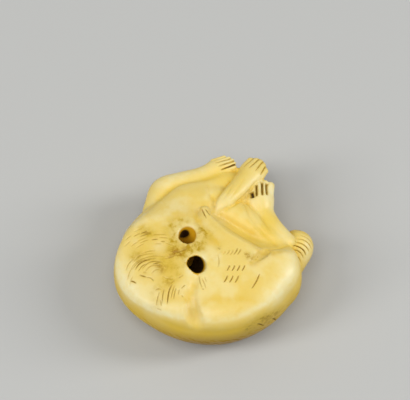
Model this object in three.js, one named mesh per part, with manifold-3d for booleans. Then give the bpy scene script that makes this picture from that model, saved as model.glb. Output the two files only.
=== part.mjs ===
// A netsuke: a small toggle of Japanese dress, carved from one piece of ivory as a monkey curled up asleep.
// It lies on its carved side, with its flattened underside and the two cord holes facing up.
// Millimetres, +Z up. The origin is on the floor, under the middle of the carving.
// The monkey's back curls round from its rump (+X) along -Y to its shoulder (-X); hands and feet meet at +Y.
import * as THREE from "three";
import { mergeVertices } from "three/addons/utils/BufferGeometryUtils.js";
import Module from "manifold-3d";

const wasm = await Module();
wasm.setup();

// ---------------------------------------------------------------- driving sizes
const THICKNESS = 18.5; // floor to the flat underside
const CORD_HOLE_RADIUS = 1.8;
const BALL_DETAIL = 17; // subdivisions of the ball that is wrapped onto the form
const MID = 9; // height of the widest line round the body
const HANDS = new THREE.Vector3(5, 14, 13); // where hands and feet cross
const UNDERSIDE_RADIUS = 150; // the flattened underside is really a very shallow dome,
const CROWN = 0.15; // worn level over its middle by this much

// ---------------------------------------------------------------- soft joins
// Union and cut of two distances, with a fillet about k wide.
const softUnion = (a, b, k) => Math.min(a, b) - Math.max(k - Math.abs(a - b), 0) ** 2 / (4 * k);
const softCut = (a, b, k) => -softUnion(-a, b, k);
const softBelow = (a, b, k) => -softUnion(-a, -b, k);

// ---------------------------------------------------------------- building blocks
// A limb, roll or groove: the skin round a chain of balls on a smooth line through stations [x, y, z, radius].
// up and down stretch its section above and below its line.
function limb(stations, { up = 1, down = 1, steps = 20 } = {}) {
  const line = new THREE.CatmullRomCurve3(stations.map(([x, y, z]) => new THREE.Vector3(x, y, z)));
  const radii = new THREE.SplineCurve(stations.map((s, i) => new THREE.Vector2(i, s[3])));
  const pieces = Array.from({ length: steps }, (_, i) => {
    const [from, to] = [i / steps, (i + 1) / steps];
    const start = line.getPoint(from);
    const run = line.getPoint(to).sub(start);
    const radius = radii.getPoint(from).y;
    const growth = radii.getPoint(to).y - radius;
    const lean = growth / (run.length() * Math.sqrt(run.lengthSq() - growth ** 2));
    return { start, run, runSq: run.lengthSq(), radius, growth, lean };
  });
  const ball = new THREE.Box3().setFromPoints(pieces.map((p) => p.start)).getBoundingSphere(new THREE.Sphere());
  const [upScale, downScale] = [1 / up, 1 / down];
  const reach = ball.radius + pieces[0].run.length() + Math.max(...stations.map((s) => s[3])) * Math.max(up, down, 1);
  return (x, y, z) => {
    const [cx, cy, cz] = [x - ball.center.x, y - ball.center.y, z - ball.center.z];
    const away = Math.sqrt(cx * cx + cy * cy + cz * cz) - reach;
    if (away > 4) return away; // far off, the distance to a ball round the limb will do
    let nearest = Infinity;
    for (const { start, run, runSq, radius, growth, lean } of pieces) {
      const [px, py, pz] = [x - start.x, y - start.y, z - start.z];
      const along = (px * run.x + py * run.y + pz * run.z) / runSq;
      const toLine = Math.sqrt(Math.max(px * px + py * py + pz * pz - along * along * runSq, 0));
      const t = Math.min(Math.max(along + toLine * lean, 0), 1); // the ball whose skin is nearest
      const [dx, dy, rise] = [px - t * run.x, py - t * run.y, pz - t * run.z];
      const dz = rise * (rise > 0 ? upScale : downScale);
      nearest = Math.min(nearest, Math.sqrt(dx * dx + dy * dy + dz * dz) - radius - t * growth);
    }
    return nearest;
  };
}

// An egg: centre, three radii and a turn about Z in degrees.
function egg([cx, cy, cz], [rx, ry, rz], turn = 0) {
  const [c, s] = [Math.cos(THREE.MathUtils.degToRad(turn)), Math.sin(THREE.MathUtils.degToRad(turn))];
  return (x, y, z) => {
    const u = ((x - cx) * c + (y - cy) * s) / rx;
    const v = ((y - cy) * c - (x - cx) * s) / ry;
    const w = (z - cz) / rz;
    const near = Math.sqrt(u * u + v * v + w * w);
    const slope = Math.sqrt((u / rx) ** 2 + (v / ry) ** 2 + (w / rz) ** 2);
    return slope ? (near * (near - 1)) / slope : -Math.min(rx, ry, rz);
  };
}

// ---------------------------------------------------------------- the monkey
// The back is a roll bent round from the rump to the shoulder; its walls stand steep above the widest line.
const back = limb(
  [
    [10.9, -6.0, MID, 7.3],
    [6.9, -9.3, MID, 8.1],
    [1.7, -11.4, MID, 8.7],
    [-3.6, -11.1, MID, 8.9],
    [-8.2, -8.7, MID, 9.1],
    [-11.7, -5.3, MID, 9.2],
    [-12.1, -3.0, MID, 8.5],
  ],
  { up: 3, down: 0.97, steps: 30 },
);
const chest = limb([[-10.2, -1.0, MID, 8.0], [-6.6, 2.0, MID, 6.8], [-3.6, 2.6, MID, 5.0]], { up: 1.8, down: 0.8 });
const breast = limb(
  [[-15.0, 2.0, 12.0, 3.7], [-12.4, 4.5, 12.5, 4.2], [-8.6, 7.2, 12.8, 4.2], [-4.8, 8.6, 13.0, 4.1], [-2.6, 8.4, 13.2, 3.9]]);
const belly = egg([3, -3, 12], [8.5, 7, 8]);
const middle = egg([-1.6, 1.2, 11], [5.5, 5, 8.2]);
const flank = egg([-2.4, -5.2, MID], [14, 12, 9.2]);
const thigh = limb([[-2.4, 0.6, MID, 4.0], [1.6, -2.8, MID, 4.2], [5.6, -6.0, MID, 4.6]], { up: 3 });

// Head, tucked in on the carved side; the muzzle points to the hands.
const head = egg([-4.2, 6.2, 4.9], [8.0, 7.0, 5.2], 15);
const muzzle = egg([3.2, 9.8, 4.6], [3.6, 3.0, 3.6], 30);
const brow = limb([[-0.4, 12.0, 2.2, 1.1], [1.1, 9.0, 1.0, 1.2], [0.6, 5.8, 1.4, 1.1]]);
const ear = egg([-8.2, 4.8, 1.4], [1.9, 2.6, 1.2], -20);

// The lap: a hollow worn between belly, thigh and chest, in which the far leg and the near foot lie.
const lap = limb([[3.6, 9.6, 20.4, 4.3], [6.6, 5.2, 20, 5.6], [10.8, 2.1, 20, 5.6], [17.4, 1.8, 19.4, 5.3]]);

// Legs. The far thigh and knee lie on the carved side, the near ones on the underside.
const farThigh = limb([[10.3, -6.2, 6.9, 6.7], [11.0, -1.0, 5.7, 5.9], [10.2, 3.6, 4.9, 5.1], [8.2, 7.4, 4.6, 4.3]]);
const farShin = limb([[8.4, 7.6, 6.8, 3.8], [11.0, 3.0, 8.4, 3.6], [14.0, 1.0, 9.8, 3.0]]);
const shin = limb(
  [[0.6, 9.9, 13.2, 3.2], [3.0, 7.5, 13.4, 3.4], [6.8, 4.9, 13.2, 3.2], [10.4, 2.2, 12.9, 2.8], [13.6, 0.2, 12.6, 2.4]],
  { up: 0.9 },
);
const foot = limb(
  [[15.2, 0.7, 12.6, 2.1], [13.7, 2.2, 12.7, 2.2], [11.9, 4.5, 12.8, 2.4], [10.4, 7.4, 12.8, 2.75],
    [9.6, 10.0, 12.9, 3.15], [9.5, 11.5, 12.8, 3.1]],
  { up: 0.85, down: 1.2 },
);
const nearFoot = limb(
  [[-1.9, 5.9, 17.0, 1.1], [-1.6, 4.3, 17.1, 1.3], [-0.2, 2.4, 16.9, 1.6], [2.1, 0.1, 16.5, 2.0],
    [5.0, -1.9, 16.3, 2.2], [7.9, -3.7, 16.3, 2.1]],
  { down: 2 },
);

// Arms. Both reach for the feet.
const farArm = limb(
  [[-12.2, 5.2, 11.4, 3.9], [-12.0, 9.4, 12.2, 3.2], [-10.8, 12.9, 12.3, 2.9], [-6.9, 14.0, 12.4, 2.7],
    [-2.7, 15.5, 12.5, 2.3], [0.2, 17.1, 12.6, 2.1]],
  { up: 0.95, down: 1.25 },
);
const farPalm = egg([1.6, 17.8, 12.7], [3.1, 2.2, 1.8], 20);
const nearArm = limb(
  [[1.9, 7.6, 14.8, 2.0], [3.5, 9.6, 14.9, 2.1], [6.4, 13.6, 14.3, 2.3], [7.7, 15.4, 13.9, 2.5]],
  { up: 0.75, down: 1.8 },
);
const palm = egg([8.3, 16.6, 13.5], [2.75, 3.2, 1.7], -38);
// What lies under the hands: the cuff of fur where arms and feet cross.
const cuff = limb([[-5.6, 12.0, 9.4, 4.4], [1.6, 14.0, 9.6, 4.4], [8.4, 11.8, 9.8, 4.4]]);

// The stub of a tail, curled round the heel.
const tail = limb([[17.2, 2.6, 9.8, 2.2], [17.8, 1.3, 9.6, 3.2], [17.0, -1.8, 9.2, 3.2], [15.2, -5.0, 9.0, 3.4]]);

// Valleys that the carver cut between the forms.
const waist = limb(
  [[-3.5, -8.8, 18.9, 0.6], [-4.3, -11.6, 18.8, 0.7], [-4.5, -14.6, 18.6, 0.8], [-4.1, -17.4, 18.2, 1.3],
    [-3.6, -20.0, 17.0, 1.5], [-3.4, -21.6, 15.2, 1.1]]);
const hip = limb([[8.0, -6.1, 18.9, 0.6], [9.5, -4.8, 18.5, 0.8], [10.9, -3.2, 17.4, 0.9]]);
const sole = limb([[-3.2, 6.0, 17.9, 0.4], [-3.8, 4.7, 18.5, 0.6], [-3.1, 3.0, 18.6, 0.6], [-1.6, 1.4, 18.8, 0.4]]);

function form(x, y, z) {
  let d = softUnion(back(x, y, z), flank(x, y, z), 2);
  d = softUnion(d, softUnion(belly(x, y, z), middle(x, y, z), 2), 3);
  d = softUnion(d, chest(x, y, z), 2);
  d = softUnion(d, thigh(x, y, z), 2);
  d = softUnion(d, breast(x, y, z), 2.5);
  d = softUnion(d, cuff(x, y, z), 2.5);
  d = softBelow(d, z - THICKNESS - CROWN + (x * x + y * y) / (2 * UNDERSIDE_RADIUS), 2);
  d = softCut(d, lap(x, y, z), 1);
  d = softUnion(d, softUnion(head(x, y, z), muzzle(x, y, z), 2), 0.9);
  d = softUnion(d, brow(x, y, z), 0.8);
  d = softUnion(d, ear(x, y, z), 0.5);
  d = softUnion(d, farThigh(x, y, z), 0.9);
  d = softUnion(d, farShin(x, y, z), 1);
  d = softUnion(d, shin(x, y, z), 1);
  d = softUnion(d, foot(x, y, z), 0.7);
  d = softUnion(d, softUnion(farArm(x, y, z), farPalm(x, y, z), 1), 0.8);
  d = softUnion(d, softUnion(nearArm(x, y, z), palm(x, y, z), 1), 0.6);
  d = softUnion(d, nearFoot(x, y, z), 0.6);
  d = softUnion(d, tail(x, y, z), 0.8);
  d = softCut(d, waist(x, y, z), 0.9);
  d = softCut(d, sole(x, y, z), 0.5);
  return softCut(d, hip(x, y, z), 0.6);
}

// ---------------------------------------------------------------- wrapping a ball onto the form
const slope = (p) => {
  const e = 0.02;
  return new THREE.Vector3(
    form(p.x + e, p.y, p.z) - form(p.x - e, p.y, p.z),
    form(p.x, p.y + e, p.z) - form(p.x, p.y - e, p.z),
    form(p.x, p.y, p.z + e) - form(p.x, p.y, p.z - e),
  ).divideScalar(2 * e);
};

function wrapped() {
  const ball = new THREE.IcosahedronGeometry(1, BALL_DETAIL);
  ball.deleteAttribute("normal");
  ball.deleteAttribute("uv");
  const skin = mergeVertices(ball, 1e-4);
  const place = skin.getAttribute("position");
  const heart = new THREE.Vector3(-1, -1, MID + 0.5);
  const reach = new THREE.Vector3(30, 30, 17);
  const points = Array.from({ length: place.count }, (_, i) => {
    const p = new THREE.Vector3().fromBufferAttribute(place, i).multiply(reach).add(heart);
    const inward = heart.clone().sub(p).normalize();
    for (let n = 0; n < 120; n++) {
      const gap = form(p.x, p.y, p.z);
      if (gap < 0.01) break;
      p.addScaledVector(inward, gap * 0.6);
    }
    return p;
  });
  // The skin's corners lie closest together where hands and feet cross.
  const pull = (p) => 1 + 5 * Math.exp(-p.distanceToSquared(HANDS) / 130);
  const neighbours = points.map(() => new Set());
  for (let i = 0; i < skin.index.count; i += 3) {
    const [a, b, c] = [0, 1, 2].map((k) => skin.index.getX(i + k));
    neighbours[a].add(b).add(c);
    neighbours[b].add(a).add(c);
    neighbours[c].add(a).add(b);
  }
  for (let round = 0; round < 60; round++) {
    const pulls = points.map(pull);
    const middles = points.map((p, i) => {
      const sum = new THREE.Vector3();
      let total = 0;
      for (const n of neighbours[i]) {
        const weight = pulls[n] * p.distanceToSquared(points[n]); // long edges pull hardest
        sum.addScaledVector(points[n], weight);
        total += weight;
      }
      return sum.divideScalar(total);
    });
    points.forEach((p, i) => {
      const out = slope(p).normalize();
      const shift = middles[i].sub(p);
      shift.addScaledVector(out, -shift.dot(out)); // slide along the skin only
      p.addScaledVector(shift, 0.5);
      const steep = slope(p);
      p.addScaledVector(steep, -form(p.x, p.y, p.z) / Math.max(steep.lengthSq(), 0.2));
    });
  }
  points.forEach((p, i) => place.setXYZ(i, p.x, p.y, p.z));
  return skin;
}

// ---------------------------------------------------------------- solids
function solid(geometry) {
  const bare = geometry.clone();
  bare.deleteAttribute("normal");
  bare.deleteAttribute("uv");
  const merged = mergeVertices(bare, 1e-5);
  return new wasm.Manifold(
    new wasm.Mesh({
      numProp: 3,
      vertProperties: new Float32Array(merged.getAttribute("position").array),
      triVerts: new Uint32Array(merged.index.array),
    }),
  );
}

function geometryOf(made) {
  const mesh = made.getMesh();
  const geometry = new THREE.BufferGeometry();
  geometry.setAttribute("position", new THREE.BufferAttribute(mesh.vertProperties, 3));
  geometry.setIndex(new THREE.BufferAttribute(mesh.triVerts, 1));
  geometry.computeVertexNormals();
  return geometry;
}

const UP = new THREE.Vector3(0, 1, 0);

// A rod with round ends from one point to another: a finger, or with square ends a drill.
function rod(from, to, radius, round = true) {
  const [a, b] = [new THREE.Vector3(...from), new THREE.Vector3(...to)];
  const along = b.clone().sub(a);
  const shape = round
    ? new THREE.CapsuleGeometry(radius, along.length(), 3, 8)
    : new THREE.CylinderGeometry(radius, radius, along.length(), 20);
  shape.applyQuaternion(new THREE.Quaternion().setFromUnitVectors(UP, along.normalize()));
  const middle = a.add(b).multiplyScalar(0.5);
  return solid(shape.translate(middle.x, middle.y, middle.z));
}

// The digits of a hand or foot fan out from a line of knuckles to a line of tips; the middle ones reach furthest.
function digits(knuckles, tips, radii, reach) {
  const between = ([a, b], t) => new THREE.Vector3(...a).lerp(new THREE.Vector3(...b), t);
  return radii.map((radius, i) => {
    const t = i / (radii.length - 1);
    const [from, to] = [between(knuckles, t), between(tips, t)];
    const middle = 1 - (2 * t - 1) ** 2;
    to.addScaledVector(to.clone().sub(from).normalize(), reach * middle);
    to.z += 0.4 * middle;
    from.z += 0.4 * middle;
    return rod(from.toArray(), to.toArray(), radius);
  });
}

const SLIM = [0.5, 0.52, 0.52, 0.52, 0.5];
const PLUMP = [0.62, 0.62, 0.62, 0.62, 0.62];
const TOES = [0.62, 0.64, 0.66, 0.68, 0.95];
const farFingers = digits([[-0.2, 19.0, 13.4], [1.8, 16.4, 13.6]], [[2.2, 19.9, 13.2], [4.4, 17.6, 13.4]], SLIM, 0.6);
const nearFingers = digits([[6.2, 17.0, 14.2], [10.0, 15.1, 14.0]], [[7.7, 19.0, 13.8], [10.9, 16.6, 13.6]], PLUMP, 0.7);
const toes = digits([[7.4, 10.6, 13.6], [11.7, 11.2, 13.6]], [[7.6, 12.8, 13.4], [11.9, 13.2, 13.4]], TOES, 0.9);

// Two drilled cord holes that slope towards each other and meet.
const meeting = [-6.2, -3.4, 10.6];
const cordHoles = [[-5.46, -0.1], [-3.57, -6.95]].map(([x, y]) => {
  const mouth = new THREE.Vector3(x, y, THICKNESS);
  const inner = new THREE.Vector3(...meeting);
  const outer = mouth.clone().add(mouth.clone().sub(inner).multiplyScalar(0.4));
  const tip = inner.clone().add(inner.clone().sub(mouth).multiplyScalar(0.12));
  return rod(tip.toArray(), outer.toArray(), CORD_HOLE_RADIUS, false);
});

// Blocks that cut the flat underside and wear the resting points flat.
const SLAB = 60;
const slab = (z) => solid(new THREE.BoxGeometry(SLAB, SLAB, 10).translate(0, 0, z));

let carving = solid(wrapped());
for (const digit of [...farFingers, ...nearFingers, ...toes]) carving = carving.add(digit);
for (const hole of cordHoles) carving = carving.subtract(hole);
carving = carving.subtract(slab(THICKNESS + 5)).subtract(slab(-5));

const ivory = new THREE.MeshStandardMaterial({ color: 0xe6cf8e, roughness: 0.35, metalness: 0 });
const monkey = new THREE.Mesh(geometryOf(carving), ivory);
monkey.name = "curled_monkey";

const netsuke = new THREE.Group();
netsuke.add(monkey);

export default netsuke;
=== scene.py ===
# %% [markdown]
# # A netsuke of a sleeping monkey
#
# A netsuke is a toggle, a few centimetres across, carved from one piece of ivory and polished by years of
# handling. This lesson takes the plain solid of the carving, gives it an even, fine skin, settles that
# skin onto the exact form, cuts the hair, fingers and toes into it, and colours it as old ivory.
#
# The solid comes from a frame that is loaded first and never changed. Everything that follows is made to
# its measure.

import math
from concurrent.futures import ThreadPoolExecutor

import bmesh
import bpy
import numpy as np
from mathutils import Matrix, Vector


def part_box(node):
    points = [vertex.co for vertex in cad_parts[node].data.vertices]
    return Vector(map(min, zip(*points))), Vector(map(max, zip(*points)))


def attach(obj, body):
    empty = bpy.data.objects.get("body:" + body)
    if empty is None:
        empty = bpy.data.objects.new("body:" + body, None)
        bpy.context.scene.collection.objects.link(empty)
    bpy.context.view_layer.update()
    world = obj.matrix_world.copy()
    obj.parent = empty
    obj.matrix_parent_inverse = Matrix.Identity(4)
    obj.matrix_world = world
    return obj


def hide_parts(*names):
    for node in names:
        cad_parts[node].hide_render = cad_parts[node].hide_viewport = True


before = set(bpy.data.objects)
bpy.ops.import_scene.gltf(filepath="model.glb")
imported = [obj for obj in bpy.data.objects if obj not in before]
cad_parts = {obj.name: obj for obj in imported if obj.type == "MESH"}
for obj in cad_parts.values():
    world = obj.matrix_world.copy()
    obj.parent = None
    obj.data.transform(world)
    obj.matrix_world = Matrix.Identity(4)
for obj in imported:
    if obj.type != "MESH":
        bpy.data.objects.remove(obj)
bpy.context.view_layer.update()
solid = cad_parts["curled_monkey"]
solid_low, solid_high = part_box("curled_monkey")
MM = 0.001
print("the solid measures", [round((b - a) / MM, 1) for a, b in zip(solid_low, solid_high)], "mm")

# %% [markdown]
# ## Floor, camera and light
#
# A small shiny thing is shown by what it reflects, so the lights are large and soft: one wide panel
# overhead, a little to the front, and a tall one of about the same strength on each side, whose
# reflections draw the rounded rims. The camera looks down at the flattened underside with a long lens
# from 1.2 m, which keeps the proportions true.

# %% Floor
def make_floor(half=1.5):
    bm = bmesh.new()
    bmesh.ops.create_grid(bm, x_segments=1, y_segments=1, size=half)
    mesh = bpy.data.meshes.new("floor")
    bm.to_mesh(mesh)
    bm.free()
    floor = bpy.data.objects.new("floor", mesh)
    bpy.context.scene.collection.objects.link(floor)
    return floor


floor = make_floor()
print("the floor is", round(floor.dimensions.x, 1), "m wide")

# %% Camera
ELEVATION = math.radians(66)  # how steeply the camera looks down
VIEW = Vector((0, math.cos(ELEVATION), -math.sin(ELEVATION)))  # the way that it looks
DISTANCE = 1.2
FIELD = 0.0868  # width of what it sees at the carving
SENSOR = 36
ASIDE = Vector((-1.8, 13.3, -3.2)) * MM  # from the middle of the carving to the middle of the view
middle = (solid_low + solid_high) / 2
aim = middle + ASIDE

camera_data = bpy.data.cameras.new("camera")
camera_data.sensor_width = SENSOR
camera_data.lens = SENSOR * DISTANCE / FIELD
camera = bpy.data.objects.new("camera", camera_data)
camera.location = aim - VIEW * DISTANCE
camera.rotation_euler = VIEW.to_track_quat("-Z", "Y").to_euler()
bpy.context.scene.collection.objects.link(camera)
bpy.context.scene.camera = camera
print("camera at", [round(c, 3) for c in camera.location], "with a lens of", round(camera_data.lens), "mm")


# %% Lights
def make_panel(name, place, size, watts):
    data = bpy.data.lights.new(name, "AREA")
    data.shape = "RECTANGLE"
    data.size, data.size_y = size
    data.energy = watts
    panel = bpy.data.objects.new(name, data)
    panel.location = place
    panel.rotation_euler = (middle - Vector(place)).to_track_quat("-Z", "Y").to_euler()
    bpy.context.scene.collection.objects.link(panel)
    print(name, "panel,", size[0], "by", size[1], "m, gives", watts, "W")


make_panel("overhead", (-0.1, -0.25, 0.95), (0.5, 0.5), 3)
make_panel("left", (-0.7, -0.25, 0.7), (0.25, 0.6), 3.8)
make_panel("right", (0.75, 0.05, 0.55), (0.2, 0.6), 4)

SKY = (0.95, 0.97, 1, 1)
SKY_STRENGTH = 0.28
world = bpy.data.worlds.new("soft_room")
world.use_nodes = True
background = world.node_tree.nodes["Background"]
background.inputs["Color"].default_value = SKY
background.inputs["Strength"].default_value = SKY_STRENGTH
bpy.context.scene.world = world
bpy.context.scene.view_settings.view_transform = "Standard"

# %% [markdown]
# ## The form as a distance
#
# The solid has flat facets about a millimetre wide, which a polished surface would show. Smoothing them
# away would also smooth the valleys between arms and legs. So the form is described once more, as a
# function that gives the distance from any point to the skin: negative inside, positive outside. A limb
# is a chain of balls along a smooth line, an egg is a stretched ball, and two of them join with a fillet.
# The function is in millimetres.

# %% Soft joins
def soft_union(a, b, k):
    return np.minimum(a, b) - np.maximum(k - np.abs(a - b), 0) ** 2 / (4 * k)


def soft_cut(a, b, k):
    return -soft_union(-a, b, k)


def soft_below(a, b, k):
    return -soft_union(-a, -b, k)


# %% A smooth line through stations
def ease(start, end, leave, arrive, t):
    """A cubic from start to end, with the slopes that it leaves and arrives with."""
    cubed = 2 * start - 2 * end + leave + arrive
    squared = 3 * end - 3 * start - 2 * leave - arrive
    return (cubed * t + squared) * t * t + leave * t + start


def smooth_line(stations, steps):
    """Points on a centripetal Catmull-Rom line through stations of x, y, z and, if given, a radius.

    The roots keep the line from looping where stations lie unevenly.
    """
    known = np.array(stations, float)
    held = np.vstack([2 * known[0] - known[1], known, 2 * known[-1] - known[-2]])
    points = []
    for i in range(steps + 1):
        at = min(i / steps * (len(known) - 1), len(known) - 1 - 1e-9)
        n, t = int(at), at % 1
        a, b, c, d = held[n : n + 4]
        g1, g2, g3 = (np.linalg.norm(v[:3]) ** 0.5 for v in (b - a, c - b, d - c))
        leave = ((b - a) / g1 - (c - a) / (g1 + g2) + (c - b) / g2) * g2
        arrive = ((c - b) / g2 - (d - b) / (g2 + g3) + (d - c) / g3) * g2
        point = ease(b, c, leave, arrive, t)
        if len(point) > 3:
            before, after = known[max(n - 1, 0), 3], known[min(n + 2, len(known) - 1), 3]
            point[3] = ease(b[3], c[3], (c[3] - before) / 2, (after - b[3]) / 2, t)
        points.append(point)
    return np.array(points)


# %% Limbs
NEAR = 3  # past this distance a rough answer will do


def limb(stations, up=1, down=1, steps=20):
    """The skin round a chain of balls; up and down stretch its section above and below its line."""
    line = smooth_line(stations, steps)
    centre = (line[:, :3].min(0) + line[:, :3].max(0)) / 2
    reach = np.linalg.norm(line[:, :3] - centre, axis=1).max() + line[:, 3].max() * max(up, down, 1)
    start, run = line[:-1, :3].T, np.diff(line[:, :3], axis=0).T
    radius, growth = line[:-1, 3], np.diff(line[:, 3])
    square = (run**2).sum(0)
    lean = growth / np.sqrt(square * (square - growth**2))

    def distance(p):
        away = np.linalg.norm(p - centre, axis=1) - reach
        near = away < NEAR
        if near.any():
            x, y, z = (p[near, i, None] - start[i] for i in range(3))
            along = (x * run[0] + y * run[1] + z * run[2]) / square
            off = np.sqrt(np.maximum(x * x + y * y + z * z - along**2 * square, 0))
            t = np.clip(along + off * lean, 0, 1)
            x, y, z = x - t * run[0], y - t * run[1], z - t * run[2]
            z *= np.where(z > 0, 1 / up, 1 / down)
            away[near] = (np.sqrt(x * x + y * y + z * z) - radius - t * growth).min(1)
        return away

    return distance


# %% Eggs and rods
def egg(centre, radii, turn=0):
    c, s = math.cos(math.radians(turn)), math.sin(math.radians(turn))
    axes = np.array([[c, -s, 0], [s, c, 0], [0, 0, 1]])
    radii = np.array(radii, float)

    def distance(p):
        u = (p - centre) @ axes / radii
        near = np.linalg.norm(u, axis=1)
        return near * (near - 1) / np.maximum(np.linalg.norm(u / radii, axis=1), 1e-6)

    return distance


def rod(start, end, radius):
    start, run = np.array(start, float), np.subtract(end, start)

    def distance(p):
        t = np.clip((p - start) @ run / (run @ run), 0, 1)
        return np.linalg.norm(p - start - t[:, None] * run, axis=1) - radius

    return distance


def depth_inside(shape, place):
    """How far inside a form a place lies."""
    return round(-float(shape(np.array([place], float))[0]), 1)


# %% [markdown]
# ## The monkey
#
# The monkey lies curled on its side. Its back is one thick roll, and belly, chest and thighs fill the
# ring that it makes. Head, far thigh and ear lie on the side that faces the floor; arms, hands and feet
# cross at the front. These are the solid's own named shapes. The shoulder's slope, the groove at the
# waist and the mouths of the cord holes are carved a little further here, and the valleys between the
# limbs are crisper.

# %% Body
MID = 9.0  # height of the widest line round the body
THICKNESS = (solid_high.z - solid_low.z) / MM

back = limb(
    [(10.9, -6, MID, 7.6), (6.9, -9.3, MID, 8.4), (1.7, -11.4, MID, 8.8), (-3.6, -11.1, MID, 8.9),
     (-8.2, -8.7, MID, 9.1), (-11.7, -5.3, MID, 9.2), (-12.1, -3, MID, 8.2)],
    up=2.2, down=0.97, steps=30,
)
shoulder = limb([(-7.4, -9, MID, 8.8), (-10.6, -6.4, MID, 9), (-11.7, -3.6, MID, 8.4)], up=3, down=0.97)
flank = egg((-2.4, -5.2, MID), (14, 12, 9.2))
belly = egg((3, -3, 12), (8.5, 7, 8))
core = egg((-1.6, 1.2, 11), (5.5, 5, 8.2))
chest = limb([(-10.2, -1, MID, 8), (-6.6, 2, MID, 6.8), (-3.6, 2.6, MID, 5)], up=1.8, down=0.8)
breast = limb([(-14.6, 1.8, 12, 3.4), (-12.2, 4.3, 12.5, 4), (-8.6, 7.2, 12.8, 4.2), (-4.8, 8.6, 13, 4.1),
               (-2.6, 8.4, 13.2, 3.9)])
thigh = limb([(-2.4, 0.6, MID, 4), (1.6, -2.8, MID, 4.2), (5.6, -6, MID, 4.6)], up=3)
cuff = limb([(-5.6, 12, 9.8, 4.5), (1.6, 13.6, 10.3, 4.6), (8.4, 11.6, 10.1, 4.4)])
tail = limb([(17.2, 2.4, 9.8, 2.2), (17.8, 1.1, 9.6, 3.2), (16.7, -1.8, 9.2, 3), (14.4, -5, 9, 3.1)])
print("the middle of the back lies", depth_inside(back, (-3.6, -11.1, MID)), "mm under its skin")

# %% Head
head = egg((-4.2, 6.2, 4.9), (8, 7, 5.2), 15)
muzzle = egg((3.2, 9.8, 4.6), (3.6, 3, 3.6), 30)
brow = limb([(-0.4, 12, 2.2, 1.1), (1.1, 9, 1, 1.2), (0.6, 5.8, 1.4, 1.1)])
ear = egg((-8.2, 4.8, 1.4), (1.9, 2.6, 1.2), -20)
print("the middle of the head lies", depth_inside(head, (-4.2, 6.2, 5)), "mm under its skin")

# %% Legs and feet
far_thigh = limb([(10.3, -6.2, 6.9, 6.7), (11, -1, 5.7, 5.9), (10.2, 3.6, 4.9, 5.1), (8.2, 7.4, 4.6, 4.3)])
far_shin = limb([(8.4, 7.6, 6.8, 3.8), (11, 3, 8.4, 3.6), (14, 1, 9.8, 3)])
shin = limb(
    [(0.6, 9.9, 13.2, 3.2), (3, 7.5, 13.4, 3.4), (6.8, 4.9, 13.2, 3.2), (10.4, 2.2, 12.9, 2.8),
     (13.6, 0.2, 12.6, 2.4)],
    up=0.9,
)
foot = limb(
    [(15.2, 0.7, 12.6, 2.1), (13.7, 2.2, 12.7, 2.2), (11.8, 4.5, 12.8, 2.3), (10.2, 7.4, 12.8, 2.5),
     (9.6, 10, 12.9, 3.15), (9.5, 11.5, 12.8, 3.1)],
    up=0.85, down=1.2,
)
near_foot = limb(
    [(-1.9, 5.9, 17, 1.1), (-1.6, 4.3, 17.1, 1.3), (-0.2, 2.4, 16.9, 1.6), (2.1, 0.1, 16.5, 2),
     (5, -1.9, 16.3, 2.2), (7.9, -3.7, 16.3, 2.1)],
    down=2,
)
print("the middle of the shin lies", depth_inside(shin, (6.8, 4.9, 13.2)), "mm under its skin")

# %% Arms and palms
far_arm = limb(
    [(-11.8, 5.2, 11.4, 3.7), (-11.4, 9.4, 12.2, 3.1), (-10.5, 12.7, 12.3, 2.8), (-6.9, 14, 12.4, 2.7),
     (-2.7, 15.5, 12.5, 2.3), (0.2, 17.1, 12.6, 2.1)],
    up=0.95, down=1.25,
)
far_palm = egg((1.6, 17.8, 12.7), (3.1, 2.2, 1.8), 20)
near_arm = limb(
    [(0.2, 6.4, 15.7, 1), (1.8, 8.2, 15.6, 1.9), (4, 10.5, 15.3, 2.1), (6.4, 13.6, 14.5, 2.3),
     (7.7, 15.4, 13.9, 2.5)],
    up=0.75, down=1.8,
)
palm = egg((8.3, 16.6, 13.5), (2.75, 3.2, 1.7), -38)
print("the middle of the near arm lies", depth_inside(near_arm, (4, 10.5, 15.3)), "mm under its skin")


# %% Fingers and toes
ARCH = 0.4  # how much higher the middle digit lies than the outer ones


def digits(knuckles, tips, radii, reach):
    """Rods that fan out from a line of knuckles to a line of tips; the middle ones reach furthest."""
    (k0, k1), (t0, t1) = np.array(knuckles, float), np.array(tips, float)
    made = []
    for i, radius in enumerate(radii):
        share = i / (len(radii) - 1)
        middle_one = 1 - (2 * share - 1) ** 2
        lift = np.array((0, 0, ARCH * middle_one))
        start, end = k0 + (k1 - k0) * share, t0 + (t1 - t0) * share
        end = end + (end - start) / np.linalg.norm(end - start) * reach * middle_one
        made.append((start + lift, end + lift, radius))
    return made


far_fingers = digits(
    knuckles=[(-0.2, 19, 13.4), (1.8, 16.4, 13.6)], tips=[(2.2, 19.9, 13.2), (4.4, 17.6, 13.4)],
    radii=[0.5, 0.52, 0.52, 0.52, 0.5], reach=0.6,
)
near_fingers = digits(
    knuckles=[(6.2, 17, 14.2), (10, 15.1, 14)], tips=[(7.7, 19, 13.8), (10.9, 16.6, 13.6)],
    radii=[0.62] * 5, reach=0.7,
)
toes = digits(
    knuckles=[(7.4, 10.6, 13.6), (11.7, 11.2, 13.6)], tips=[(7.6, 12.8, 13.4), (11.9, 13.2, 13.4)],
    radii=[0.62, 0.64, 0.66, 0.68, 0.95], reach=0.9,
)
digit_rods = [rod(*d) for d in far_fingers + near_fingers + toes]
print(len(digit_rods), "fingers and toes")

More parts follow.
